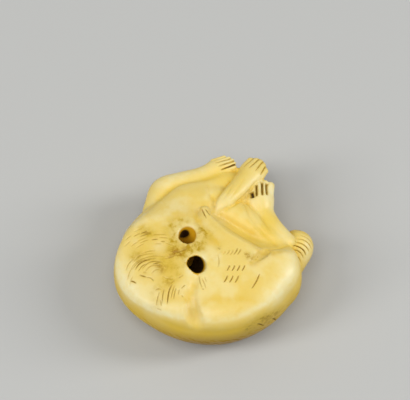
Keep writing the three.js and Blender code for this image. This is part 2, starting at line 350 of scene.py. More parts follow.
# %% Cord holes and the valleys between the forms
MEETING = np.array((-6.2, -3.4, 10.6))  # where the two holes meet inside
HOLE_MOUTHS = [np.array((-5.46, 0.05, THICKNESS)), np.array((-3.3, -6.95, THICKNESS))]
HOLE_RADIUS = 1.8
BEYOND = 0.4  # how far each rod stands out of its mouth, as a share of its length
cord_holes = [rod(MEETING, mouth + (mouth - MEETING) * BEYOND, HOLE_RADIUS) for mouth in HOLE_MOUTHS]
print("the cord holes are", round(float(np.linalg.norm(np.subtract(*HOLE_MOUTHS))), 1), "mm apart")

lap = limb([(3.6, 9.6, 20.4, 4.3), (6.6, 5.2, 20, 5.6), (10.8, 2.1, 20, 5.6), (17.4, 1.8, 19.4, 5.3)])
waist = limb([(-3.5, -8.8, 18.9, 0.6), (-4.3, -11.6, 18.7, 0.7), (-4.6, -14.2, 18.3, 0.9),
              (-4.4, -16.6, 17.7, 1.2), (-4, -18.4, 17, 1.4), (-3.7, -20, 16.4, 1.3),
              (-3.5, -21.6, 15.2, 0.9)])
hip = limb([(8, -6.1, 18.9, 0.6), (9.5, -4.8, 18.5, 0.8), (10.9, -3.2, 17.4, 0.9)])
sole = limb([(-3.2, 6, 17.9, 0.4), (-3.8, 4.7, 18.5, 0.6), (-3.1, 3, 18.6, 0.6), (-1.6, 1.4, 18.8, 0.4)])

# %% Roundings and slopes
UNDERSIDE_RADIUS, CROWN = 150, 0.15  # the underside is a very shallow dome, worn level in its middle
EDGE = 3  # rounding of its edge
SHOULDER_EDGE = 1.3  # and over the shoulder, which is crisper
SHOULDER_WAY = (-0.87, -0.5)  # which way the shoulder slopes
SHOULDER_START = 10.5  # how far out its slope starts
SHOULDER_BEND = 46  # how gently it bends
RIM = 0.3  # rounding of the cord holes' mouths
CRISP = 0.5  # how wide the valleys between limbs are cut, against those of the solid
DIGIT_FILLET = 0.2
WORN, BED = 0.2, 0.3  # rounding at the plane that is worn level, and at the one that it lies on


# %% Trunk and flattened underside
def join(d, other, k):
    return soft_union(d, other, k * CRISP)


def trunk(p):
    d = soft_union(soft_union(back(p), shoulder(p), 0.5), flank(p), 2)
    d = soft_union(d, soft_union(belly(p), core(p), 2), 3)
    d = soft_union(soft_union(d, chest(p), 2), thigh(p), 2)
    return soft_union(soft_union(d, breast(p), 2.5), cuff(p), 4)


def fall(x, y):
    """How far the underside has sloped down over the shoulder."""
    out_there = SHOULDER_WAY[0] * x + SHOULDER_WAY[1] * y - SHOULDER_START
    return np.maximum(out_there, 0) ** 2 / SHOULDER_BEND


def underside(p):
    x, y, z = p.T
    return z - THICKNESS - CROWN + (x**2 + y**2) / (2 * UNDERSIDE_RADIUS) + fall(x, y)


# %% The whole form
def form(p):
    edge = np.interp(p[:, 0], (-14, -4), (SHOULDER_EDGE, EDGE))
    d = soft_cut(soft_below(trunk(p), underside(p), edge), lap(p), 1)
    d = join(d, soft_union(head(p), muzzle(p), 2), 0.9)
    d = join(join(d, brow(p), 0.8), ear(p), 0.5)
    d = join(join(d, far_thigh(p), 0.9), far_shin(p), 1)
    d = join(join(d, shin(p), 1), foot(p), 0.7)
    d = join(d, soft_union(far_arm(p), far_palm(p), 1), 0.8)
    d = join(d, soft_union(near_arm(p), palm(p), 1), 0.6)
    d = join(join(d, near_foot(p), 0.6), tail(p), 0.8)
    d = soft_cut(soft_cut(soft_cut(d, waist(p), 0.9), sole(p), 0.5), hip(p), 0.6)
    for digit in digit_rods:
        d = soft_union(d, digit(p), DIGIT_FILLET)
    for hole in cord_holes:
        d = soft_cut(d, hole(p), RIM)
    return soft_below(soft_below(d, p[:, 2] - THICKNESS, WORN), -p[:, 2], BED)


through = np.column_stack([np.full(400, 3.0), np.full(400, -9.0), np.linspace(-1, 20, 400)])
print("beside the cord holes the form is", round(float((form(through) < 0).mean()) * 21, 1), "mm thick")

# %% Distance and slope at many points
WORKERS = 4  # how many looks are worked out side by side


def measure(p, reach=0.04):
    """Distance and slope of the form at many points, from four looks round each."""
    looks = np.array([(1, -1, -1), (-1, -1, 1), (-1, 1, -1), (1, 1, 1)]) * reach
    with ThreadPoolExecutor(WORKERS) as pool:
        seen = list(pool.map(lambda look: form(p + look), looks))
    slope = sum(d[:, None] * look for d, look in zip(seen, looks)) / (4 * reach**2)
    return sum(seen) / 4, slope


# %% [markdown]
# ## An even skin
#
# A copy of the solid is merged and remeshed to small, even squares, as a sculptor does before the fine
# work. Then each point drops onto the exact form and slides along it towards the middle of its
# neighbours, a few times over.

# %% Remesh a copy of the solid
SKIN = 0.42  # side of a square of skin, in millimetres

bm = bmesh.new()
bm.from_mesh(solid.data)
bmesh.ops.remove_doubles(bm, verts=bm.verts, dist=1e-6)
bmesh.ops.scale(bm, vec=(1 / MM,) * 3, verts=bm.verts)
rough = bpy.data.meshes.new("rough_skin")
bm.to_mesh(rough)
bm.free()
carving = bpy.data.objects.new("carved_ivory", rough)
bpy.context.scene.collection.objects.link(carving)
even = carving.modifiers.new("even_skin", "REMESH")
even.mode = "VOXEL"
even.voxel_size = SKIN
skin = bpy.data.meshes.new_from_object(carving.evaluated_get(bpy.context.evaluated_depsgraph_get()))
carving.modifiers.clear()
carving.data = skin
print("the skin has", len(skin.vertices), "points")


# %% Read and move points
def places(mesh):
    found = np.zeros(len(mesh.vertices) * 3, np.float32)
    mesh.vertices.foreach_get("co", found)
    return found.reshape(-1, 3).astype(float)


def put(mesh, points):
    mesh.vertices.foreach_set("co", points.astype(np.float32).ravel())
    mesh.update()


def edge_ends(mesh):
    found = np.zeros(len(mesh.edges) * 2, np.int32)
    mesh.edges.foreach_get("vertices", found)
    return found.reshape(-1, 2)


def neighbour_mean(values, ends):
    """The mean of each point's neighbours along the edges."""
    one, other = ends.T
    count = len(values)
    degree = np.bincount(one, minlength=count) + np.bincount(other, minlength=count)
    columns = [
        np.bincount(one, column[other], count) + np.bincount(other, column[one], count)
        for column in values.reshape(count, -1).T
    ]
    return (np.array(columns) / degree).T.reshape(values.shape)


# %% Settle the skin onto the form
SLIDE = 0.6  # share of the way to the middle of its neighbours that a point slides in one round


def unit(vectors):
    return vectors / np.maximum(np.linalg.norm(vectors, axis=1), 1e-9)[:, None]


def drop(points, limit=0.3):
    """Moves points straight onto the form, and gives the direction out of it."""
    depth, slope = measure(points)
    steep = np.maximum((slope**2).sum(1), 0.2)
    return points - slope * np.clip(depth / steep, -limit, limit)[:, None], unit(slope)


def settle(mesh, rounds):
    points, ends = places(mesh), edge_ends(mesh)
    for _ in range(rounds):
        points, out = drop(points)
        shift = neighbour_mean(points, ends) - points
        points += SLIDE * (shift - (shift * out).sum(1)[:, None] * out)
    points, out = drop(points)
    points, out = drop(points)
    put(mesh, points)
    return points, out


points, out = settle(skin, 5)
print("the skin lies within", round(float(np.abs(measure(points)[0]).max()), 3), "mm of the form")

# %% [markdown]
# ## Lines to carve
#
# Hair, fingers and folds are cut with a small tool. Each cut is a smooth line near the skin, with a half
# width, a depth, and an amount of dark residue that centuries of handling left in it; beside the big toe
# that dark is also a painted shadow of the near hand. Most are laid out in plan, on the flattened
# underside. A negative depth raises a soft ridge instead.

# %% The tool
TOP = THICKNESS - 0.1  # height at which the tool meets the level part of the underside
LEAN = 0.445  # the tool leans 24 degrees, so on the shoulder's slope it lands a little further back
FINE = 0.3  # a cut with less than this half width is a line, and a wider one a fold
HALO = 1.6  # how many half widths away a cut still colours the skin
cuts = []


def landing(x, y):
    """Where the tool meets the underside."""
    return (x, y + LEAN * fall(x, y), TOP - fall(x, y))


def cut(stations, width, depth, ink_and_shadow=0.0, gold=0.0, taper=(0.35, 0.35), steps=10):
    """Notes one cut. Stations are x, y or x, y, z. Each end fades over its taper, a share of the length."""
    stations = [landing(*s) if len(s) == 2 else s for s in stations]
    line = smooth_line(stations, steps)
    cuts.append(dict(line=line, width=width, depth=depth, ink_and_shadow=ink_and_shadow, gold=gold, taper=taper))


def hair(stations, ink_and_shadow=0.5, width=0.2, depth=0.1):
    cut(stations, width, depth, ink_and_shadow, gold=0.3)


def count_cuts(place):
    print(len(cuts), "cuts with", place)


def whorl(centre, arcs):
    """Hairs that lie round a centre: each has a radius, the angles where it starts and ends, and its ink."""
    for radius, first, last, ink_and_shadow in arcs:
        turns = np.radians(np.linspace(first, last, 4))
        hair([(centre[0] + radius * math.cos(t), centre[1] + radius * math.sin(t)) for t in turns], ink_and_shadow)


# %% Hair over the shoulder
whorl((-11.6, -9.2), [
    (10.4, 121, 112, 0.4), (10.3, 111, 103, 0.65), (9.7, 114, 98, 0.5), (9.3, 97, 78, 0.35),
    (9.0, 122, 106, 0.2), (10.0, 108, 99, 0.4), (8.2, 100, 90, 0.55), (8.6, 89, 76, 0.3), (7.7, 86, 79, 0.5),
    (7.4, 78, 66, 0.2), (10.9, 132, 122, 0.2), (9.9, 138, 127, 0.2), (8.9, 132, 118, 0.2),
    (8.4, 118, 104, 0.25), (7.9, 128, 112, 0.15), (7.2, 98, 84, 0.2), (11.3, 118, 108, 0.2),
])
count_cuts("the shoulder")

# %% Hair round the shoulder's own whorl
hair([(-18.7, -8.2), (-18.1, -6.7), (-17.1, -5.5)], 0.3)
hair([(-18.4, -10.3), (-17.9, -8.6), (-17.2, -7.3)], 0.25)
hair([(-18.0, -8.6), (-16.8, -6.6), (-14.7, -5.3), (-12.2, -4.8), (-10.1, -5.0)], 0.3)
hair([(-17.4, -8.0), (-16, -6.3), (-13.9, -5.6), (-12.0, -5.3)], 0.5)
hair([(-16.7, -8.0), (-15.8, -6.7), (-14.5, -5.9), (-13.3, -5.7)], 0.8, 0.22)
hair([(-16.0, -8.3), (-15.2, -7.2), (-14.2, -6.5)], 0.5)
hair([(-15.2, -7.8), (-13.8, -6.4), (-12.2, -6.0), (-10.5, -6.4)], 0.5)
hair([(-12.9, -6.7), (-11.9, -6.4), (-11.0, -6.2)], 0.6)
hair([(-14.7, -8.6), (-13.6, -7.3), (-12.4, -6.9), (-11.2, -7.0)], 0.35)
hair([(-17.0, -6.2), (-16.0, -5.0), (-14.4, -4.4), (-12.6, -4.2)], 0.3)
hair([(-15.4, -4.3), (-13.6, -3.7), (-12.2, -3.6)], 0.3)
hair([(-10.4, -5.5), (-9.0, -5.2), (-7.8, -4.7)], 0.3)
hair([(-8.9, -4.3), (-7.0, -3.9), (-5.4, -3.3)], 0.35)
hair([(-17.9, -11.8), (-17.7, -10.6), (-17.2, -9.4)], 0.15)
hair([(-13.2, -8.9), (-12.3, -8.0), (-11.4, -7.8)], 0.25)
count_cuts("its whorl")

# %% Hair low on the side
hair([(-15.8, -9.1), (-15.0, -9.4), (-14.2, -9.6)], 0.7, 0.22)
hair([(-14.4, -9.6), (-13.4, -9.8), (-12.9, -10.2), (-12.6, -10.6)], 0.45)
hair([(-17.8, -10.6), (-17.1, -10.7), (-16.4, -11.1)], 0.7, 0.24)
hair([(-15.0, -8.5), (-14.1, -8.6)], 0.25)
hair([(-12.4, -12.6), (-11.8, -12.3), (-11.1, -12.4)], 0.4)
hair([(-9.0, -11.0), (-8.2, -10.4)], 0.35)
hair([(-7.4, -9.9), (-6.3, -9.2)], 0.35)
hair([(-12.3, -17.0), (-11.3, -17.4)], 0.3)
hair([(-10.8, -9.4), (-9.6, -10.0), (-8.4, -10.0)], 0.25)
count_cuts("the side")

# %% Hair over the loin, on both sides of the waist
hair([(-8.7, -11.2), (-9.4, -12.7), (-9.7, -14.3), (-9.9, -15.8)], 0.85, 0.22)
hair([(-8.2, -11.4), (-8.7, -12.9), (-9.0, -14.4)], 0.4)
hair([(-7.9, -12.0), (-8.3, -13.4), (-8.5, -14.6)], 0.5)
hair([(-10.5, -12.3), (-10.8, -13.8), (-11.0, -15.6)], 0.5)
hair([(-11.5, -12.9), (-12.0, -14.6), (-12.3, -16.2)], 0.35)
hair([(-11.3, -14.7), (-11.2, -16.2)], 0.35)
hair([(-7.2, -12.3), (-7.5, -13.6)], 0.3)
hair([(-6.8, -12.2), (-6.3, -11.7), (-5.9, -11.4)], 0.4)
hair([(-6.8, -13.6), (-6.4, -14.1)], 0.3)
hair([(-3.2, -9.3), (-2.9, -10.7), (-2.4, -12.1)], 0.45)
hair([(-2.5, -9.9), (-2.0, -11.0), (-1.6, -12.2)], 0.35)
hair([(-2.5, -12.2), (-2.0, -12.4)], 0.45)
hair([(-1.9, -9.5), (-1.5, -10.8)], 0.2)
count_cuts("the loin")

# %% Hair on the belly
for i, (ink_and_shadow, length) in enumerate([(0.15, 1.2), (0.25, 1.4), (0.3, 1.5), (0.6, 1.9), (0.5, 1.7)]):
    x, y = 1.9 + 0.75 * i, -4.7
    hair([(x, y), (x + 0.3 * length, y + 0.45 * length), (x + 0.45 * length, y + 0.85 * length)], ink_and_shadow)
hair([(0.8, -3.0), (1.4, -3.5)], 0.4)
hair([(0.9, -4.6), (1.1, -6.1), (0.9, -7.6)], 0.3)
count_cuts("the belly")

# %% [markdown]
# The carver's inscription stood here. Its place holds plain slanting strokes in two rows, which say
# nothing.

# %% Rows of plain strokes
def row(first, count, gap, length, ink_and_shadow):
    for i in range(count):
        x, y = first[0] + gap * i, first[1]
        stroke = [(x, y), (x + 0.3 * length, y + 0.5 * length), (x + 0.5 * length, y + length)]
        cut(stroke, width=0.2, depth=0.2, ink_and_shadow=ink_and_shadow, gold=0.2, taper=(0.2, 0.2))


row((2.7, -8.3), 4, 1.05, 1.3, 0.6)
row((2.1, -10.9), 3, 1.15, 1.6, 0.65)
row((7.9, -12.2), 1, 1.0, 3.4, 0.65)
count_cuts("the strokes")

# %% Digits
def part_digits(made, inks, width, depth, back=0.6, beyond=0.9):
    """Cuts the grooves between neighbouring digits, from behind the knuckles to beyond the tips."""
    for (a0, a1, radius), (b0, b1, _), ink_and_shadow in zip(made, made[1:], inks):
        start, end = (a0 + b0) / 2, (a1 + b1) / 2
        along = (end - start) / np.linalg.norm(end - start)
        lift, sink = np.array((0, 0, radius * 0.6)), np.array((0, 0, radius * 0.5))
        top = [start - along * back + lift, (start + end) / 2 + lift, end + along * 0.2 + lift]
        cut(top + [end + along * beyond - sink], width, depth, ink_and_shadow, gold=0.5, taper=(0.3, 0.05), steps=14)


part_digits(far_fingers, [0.3, 0.5, 0.6, 1], 0.24, 0.3, back=0.2)
part_digits(near_fingers, [0.4, 0.45, 0.4, 0.5], 0.22, 0.32, back=0.2)
# Beside the big toe the groove is real; its dark is also a painted shadow of the near hand.
by_big_toe = [(8.1, 9.7, 15.3), (8, 10.4, 15.3), (7.9, 11.1, 15.1)]
cut(by_big_toe, 0.75, 0.6, 1.2, gold=0.8, taper=(0.1, 0.05), steps=12)
for x, first, last, ink_and_shadow in [(9, 9.9, 12.8, 0.95), (10.25, 10.1, 13.9, 0.95), (11.4, 10.4, 13.7, 0.85)]:
    gap = [(x, first, 15.4), (x, (first + last) / 2, 15.4), (x, last, 14.9)]
    cut(gap, 0.42, 0.55, ink_and_shadow, gold=0.9, taper=(0.2, 0.05), steps=12)
hair([(-2.4, 6.0, 17.8), (-2.0, 4.8, 18), (-1.5, 3.6, 18.3)], 0.8)
hair([(-1.8, 5.9, 17.9), (-1.3, 5.1, 18.1), (-0.8, 4.3, 18.2)], 0.7)
count_cuts("the fingers and toes")

# %% [markdown]
# The face is on the side that lies on the table. It sleeps: below the brow each eye is only a lid's
# curve, and two short cuts make the nose. The hair of the head lies in two rows over its crown and in
# short strokes on its cheek.

# %% Face and ear
cut([(2.0, 12.0, 2.6), (2.5, 11.5, 2.0), (2.6, 10.8, 1.6)], 0.28, 0.3, ink_and_shadow=0.9, gold=0.5)
cut([(2.5, 8.7, 1.5), (2.4, 8.0, 1.7), (1.9, 7.3, 2.2)], 0.28, 0.3, ink_and_shadow=0.9, gold=0.5)
cut([(3.4, 11.8, 2.4), (3.7, 10.4, 1.4), (3.6, 9.0, 1.5)], 0.4, 0.12, gold=0.6)
cut([(5.4, 11.0, 2.3), (5.7, 11.2, 2.7)], 0.28, 0.35, ink_and_shadow=1)
cut([(5.5, 10.0, 2.2), (5.8, 9.9, 2.6)], 0.28, 0.35, ink_and_shadow=1)
cut([(-8.9, 6.3, 0.8), (-9.3, 5.2, 0.5), (-8.9, 4.0, 0.5), (-8.0, 3.4, 0.6)], 0.5, 0.4, ink_and_shadow=0.7, gold=0.6)
count_cuts("the face")

# %% Hair of the head
for i in range(7):
    x, y = -0.6 - 1.1 * i, 12.9 - 0.25 * i
    hair([(x, y, 3.2 + 0.25 * (i % 2)), (x - 0.9, y - 0.2, 3.6), (x - 1.7, y - 0.5, 4.4)], 0.4)
    hair([(x, y - 0.5, 1.7), (x - 0.9, y - 0.8, 2.1), (x - 1.7, y - 1.1, 2.9)], 0.4)
for i in range(5):
    for x in (-1.4, -3.8):
        y = 5.2 + 1.25 * i + 0.6 * (x < -2)
        hair([(x, y, 0.4), (x - 0.8, y + 0.1, 0.2), (x - 1.7, y - 0.1, 0.2)], 0.4)
count_cuts("the head")

# %% Folds and tendons
def fold(stations, width, depth, gold=0.4):
    cut(stations, width, depth, gold=gold, taper=(0.2, 0.2), steps=16)


fold([(-14.7, 5.6, 16.6), (-11.5, 9.3, 15.5), (-7.8, 12.4, 14.8), (-4, 13.3, 14.5), (-0.8, 14.2, 14),
      (1.7, 15.4, 13.9)], 0.9, 0.14, 0.6)
fold([(6.1, 9.5, 15), (6.7, 7.7, 15.4), (7.6, 5.2, 16), (9.2, 3, 15.7), (10.7, 1.4, 15.3), (12.4, -0.3, 15),
      (13.4, -1.4, 15.3)], 0.6, 0.25, 0.3)
fold([(0.6, 3.7, 17.7), (3.6, 2, 16.5), (6.1, 0.4, 15.8), (8.8, -1.2, 15.9), (10.5, -2.7, 16.6)],
     0.5, 0.1, 0.1)
fold([(-2.3, 5.9, 17.9), (-0.4, 3.7, 18.4), (1.3, 1.8, 18.4), (3.6, 0, 18.4), (6.1, -1.6, 18.4),
      (8.4, -2.7, 18.2)], 0.55, -0.12, 0)
fold([(-2.8, 6.8, 17.6), (-3.5, 5.2, 17.9), (-3.5, 3.6, 18), (-2.8, 2.2), (-1.3, 0.6), (0.4, -1.2),
      (1.4, -2.9)], 0.6, 0.25, 0.8)
fold([(-2.2, 1.6), (-1.2, -0.4), (0.4, -2.0), (1.2, -3.4)], 1.1, 0.04, 0.6)
fold([(7.7, -7.2), (8.5, -5.8), (10, -4.9, 17.9), (12, -4.4, 17.4), (14.4, -4, 16.8)], 1.1, 0.28, 1)
fold([(-14, -14.6), (-6, -14.4), (2, -14.6), (9, -14.4)], 0.8, 0.02, 0.6)
fold([(-0.6, 10.3, 16.2), (0.2, 7.9, 16.2), (0.2, 5.6, 16.2)], 0.7, 0.25, 0.5)
fold([(-1.5, 11.7, 15.4), (-1.5, 10, 16.4), (-1.5, 8.5, 16.9)], 0.5, -0.1, 0)
fold([(10.5, -2.7, 16.6), (13, -2.4, 16.2), (16.2, -0.9, 13.8)], 0.5, 0.2, 0.5)
fold([(0, 7.2, 16.3), (0.9, 9, 16.2), (2.3, 11, 15.8), (3.8, 14, 14.2)], 0.45, 0.3, 0.6)
fold([(1, 5.6, 16.8), (2.6, 6.6, 16.5), (4.1, 7.5, 16.3), (6.1, 9.6, 15.5), (7.3, 11.3, 15.1),
      (9.2, 13.5, 14.7)], 0.45, 0.35, 0.8)
fold([(1.7, 8.3, 16.8), (2.8, 9.9, 16.8), (3.9, 11.8, 16.5)], 0.35, 0.12, 0.35)
fold([(3.2, 8.6, 16.8), (4.9, 11.2, 16.6), (6.5, 14, 16)], 0.35, 0.12, 0.35)
fold([(-3.7, -9.4), (-4.2, -11.5), (-4.6, -14), (-4.4, -16.4, 17.4), (-4, -18.4, 16),
      (-3.7, -19.8, 14)], 1.3, 0.2, 0.45)
fold([(9.2, 8.3, 15.3), (10.3, 4.9, 15), (12.4, 1.5, 15.1)], 0.5, 0.15, 0.25)
fold([(-0.8, -6.4), (0.4, -5), (1.2, -4.2), (1.8, -3.9)], 0.3, 0.08, 0.6)
count_cuts("the folds")

# %% Hair on the tail
hair([(16.2, -0.2, 13.2), (17.6, -0.3, 12.8), (18.9, -1.0, 12.2), (19.5, -1.9, 11.5)], 0.95, 0.2, 0.2)
hair([(16.6, 0.7, 13.2), (18.3, 0.4, 12.8), (19.5, -0.2, 12.1), (20.2, -1.0, 11.3)], 0.7, 0.18, 0.18)
hair([(17.2, 1.5, 13), (18.9, 1.2, 12.3), (20.0, 0.5, 11.5), (20.5, -0.2, 10.8)], 0.55, 0.18, 0.18)
hair([(18.1, 2.3, 12.5), (19.2, 2.0, 12), (20.1, 1.3, 11.2), (20.7, 0.6, 10.4)], 0.4, 0.16, 0.14)
hair([(18.3, 3.2, 12), (19.3, 2.9, 11.4), (20.2, 2.2, 10.6)], 0.3, 0.16, 0.14)
hair([(16.6, -1.1, 13), (17.4, -1.1, 12.6), (18.4, -1.7, 12), (18.9, -2.5, 11.4)], 0.6, 0.18, 0.16)
hair([(16.9, -2.2, 12.6), (17.4, -2.2, 12.4), (18.0, -2.7, 11.8), (18.3, -3.4, 11.2)], 0.45, 0.16, 0.14)
hair([(16.9, -3.2, 12.3), (17.2, -3.4, 12), (17.6, -4, 11.4)], 0.3, 0.16, 0.14)
count_cuts("the tail")

# %% [markdown]
# The back is covered with short hairs from its widest line down. They lie from shoulder to rump, in rows
# that stand like bricks, each a little different.

# %% Hair on the back
chance = np.random.default_rng(7)
ROWS = [(9.5, 0.2), (7.2, 0.45), (5, 0.5), (3, 0.45)]  # height, and ink of its darkest hairs
SPACING = 4.6  # degrees from one hair to the next
for row_number, (height, darkest) in enumerate(ROWS):
    reach = 21 - 0.15 * (MID - height) ** 2
    for turn in np.arange(-178, -12, SPACING) + SPACING / 2 * (row_number % 2):
        jitter = chance.uniform(-1, 1, 3)
        turns = np.radians(turn + jitter[0] + np.array([0, 2.4, 5.2]))
        heights = height + 0.5 * jitter[1] - np.array([0, 0.5, 1.3])
        xs, ys = -0.5 + reach * np.cos(turns), -1.5 + reach * np.sin(turns)
        hair(list(zip(xs, ys, heights)), darkest * (0.6 + 0.4 * jitter[2]), depth=0.12)
hair([(9.0, -17.6, 12.4), (9.6, -17.2, 11.2), (10.4, -16.8, 9.6)], 1, width=0.26)
hair([(12.0, -15.6, 10.6), (12.5, -15.0, 9.0), (12.9, -14.6, 7.2)], 1, width=0.26)
count_cuts("the back")

# %% Lay the cuts on the skin
ends = np.cumsum([0] + [len(c["line"]) for c in cuts])
laid = np.vstack([c["line"] for c in cuts])
for _ in range(6):
    laid = drop(laid, limit=0.6)[0]
for c, start, end in zip(cuts, ends, ends[1:]):
    c["line"] = laid[start:end]
print(len(cuts), "cuts, within", round(float(np.abs(measure(laid)[0]).max()), 3), "mm of the skin")


# %% How far each point is from a cut
FAR = 9.0  # further off than any point that is asked about


def near_line(points, line, reach):
    """Which points lie near a line, how far off they are, and how far along it, from 0 to 1."""
    inside = ((points > line.min(0) - reach) & (points < line.max(0) + reach)).all(1)
    chosen = np.flatnonzero(inside)
    best, along = np.full(len(chosen), FAR), np.zeros(len(chosen))
    for i, (a, b) in enumerate(zip(line[:-1], line[1:])):
        run = b - a
        t = np.clip((points[chosen] - a) @ run / max(run @ run, 1e-9), 0, 1)
        off = np.linalg.norm(points[chosen] - a - t[:, None] * run, axis=1)
        closer = off < best
        best[closer], along[closer] = off[closer], (i + t[closer]) / (len(line) - 1)
    return chosen, best, along


# %% [markdown]
# ## Finer skin where the cuts go
#
# A hair is narrower than a square of the skin. Splitting every edge near a hair, in a valley or on a hand
# halves the squares there and leaves the broad, smooth surfaces as they are. A second round halves them
# again at the hairs.

# %% Split the edges near the cuts
def near_hairs(points, within):
    wanted = np.zeros(len(points), bool)
    for c in cuts:
        if c["width"] < FINE:
            chosen, off, _ = near_line(points, c["line"], within)
            wanted[chosen[off < within]] = True
    return wanted


def refine(mesh, wanted, rounds):
    """Halves the edges between wanted points, and settles the new ones."""
    bm = bmesh.new()
    bm.from_mesh(mesh)
    bmesh.ops.triangulate(bm, faces=bm.faces)
    bm.verts.ensure_lookup_table()
    chosen = [e for e in bm.edges if wanted[e.verts[0].index] and wanted[e.verts[1].index]]
    bmesh.ops.subdivide_edges(bm, edges=chosen, cuts=1, use_grid_fill=True)
    bmesh.ops.triangulate(bm, faces=bm.faces)
    bm.to_mesh(mesh)
    bm.free()
    return settle(mesh, rounds)


STEP_OUT = 0.6
OPEN = 0.75  # a point is in a valley if a step outwards takes it less than this share of the step away
HANDS, HANDS_REACH = (6, 15, 14), 8.5

valley = measure(points + out * STEP_OUT)[0] < STEP_OUT * OPEN
hands = np.linalg.norm(points - HANDS, axis=1) < HANDS_REACH
points, out = refine(skin, near_hairs(points, 0.55) | valley | hands, 2)
print("the finer skin has", len(skin.polygons), "triangles")
points, out = refine(skin, near_hairs(points, 0.3), 2)
print("and with the second round", len(skin.polygons), "triangles")

# %% Cut
ink_and_shadow, gold, sunk = np.zeros((3, len(points)))
for c in cuts:
    chosen, off, along = near_line(points, c["line"], c["width"] * HALO)
    fade = np.clip(np.minimum(along / c["taper"][0], (1 - along) / c["taper"][1]), 0, 1) ** 0.5
    groove = np.clip(1 - (off / c["width"]) ** 2, 0, 1) ** 2 * fade
    if c["width"] < FINE:
        sunk[chosen] = np.maximum(sunk[chosen], c["depth"] * groove)
    else:
        sunk[chosen] += c["depth"] * groove
    ink_and_shadow[chosen] = np.maximum(ink_and_shadow[chosen], c["ink_and_shadow"] * groove)
    halo = np.clip(1 - off / (c["width"] * HALO), 0, 1) * fade
    gold[chosen] = np.maximum(gold[chosen], c["gold"] * halo)
points -= out * sunk[:, None]
put(skin, points)
print("the deepest cut is", round(float(sunk.max()), 2), "mm deep")

# %% [markdown]
# ## Where dirt gathers and hands polish
#
# Old ivory is golden in its hollows and pale on its ridges. The distance function tells both: a step
# outwards from a hollow comes close to another part of the skin, and a step inwards from a ridge stays
# shallow.

# %% Hollows and ridges
x, y, z = points.T


def hollow_at(reach):
    return np.clip(1 - measure(points + out * reach)[0] / reach, 0, 1)


def ridge_at(reach):
    return np.clip(1 + measure(points - out * reach)[0] / reach, 0, 1)


hollow = np.clip(hollow_at(0.7) + hollow_at(2) * 0.25 + gold, 0, 1)
ridge = np.clip(ridge_at(0.7) + ridge_at(2) * 0.6, 0, 1)
print("hollow:", round(float(hollow.mean()), 2), "on average, ridge:", round(float(ridge.mean()), 2))

# %% [markdown]
# The wall round the carving is honey-coloured. It darkens downwards, most in the middle and least at the
# shoulder, partly as stain and partly as painted shade, and the rim between wall and underside is rubbed
# pale and also carries a painted highlight, except in the groove at the waist.

# %% Wall and rim
WALL_TOP = 1.5  # how far below the underside the honey colour starts
SHADE_TOP, SHADE_FADE = 12.7, 4.5  # height where the darker band starts, and the height that it takes
RIM_WIDTH = 0.8
WAIST_AT, WAIST_WIDTH = -4.1, 1.5

wall_fade = np.interp(y, (-6, 0), (3.3, 5))  # the height over which the honey colour gets full
patina = np.clip((THICKNESS - WALL_TOP - z) / wall_fade, 0, 1)
# low: a darker band low on the wall, partly stain and partly painted shade
low = np.clip((SHADE_TOP - z) / SHADE_FADE, 0, 1) * np.interp(x, (-16, -4, 8, 15), (0.3, 1, 1, 0.5))
# the pale rim is partly wear and partly a painted highlight along the rounded edge
on_rim = np.exp(-(((trunk(points) - underside(points)) / RIM_WIDTH) ** 2))
at_back = np.clip((-y - 2) / 8, 0, 1) * np.clip(0.3 + np.abs(x) / 20, 0, 1)
rim = on_rim * at_back * (1 - np.exp(-(((x - WAIST_AT) / WAIST_WIDTH) ** 2)))
print("the rim is rubbed pale by up to", round(float(rim.max()), 2))

# %% [markdown]
# Stains are laid where a cord rubbed and dirt stayed: round the two holes, in the shoulder's hair, in the
# valleys. Each is a soft round patch, and the material breaks its edge up.

# %% Soft round patches
def spot(place, radius):
    """A soft round patch, 1 at its middle."""
    return np.exp(-((points - place) ** 2).sum(1) / radius**2)


def spots(patches):
    """Many soft patches together, each x, y, radius, strength, with a z after y unless on the underside."""
    total = 0
    for *place, radius, strength in patches:
        total = total + strength * spot(place if len(place) == 3 else landing(*place), radius)
    return total


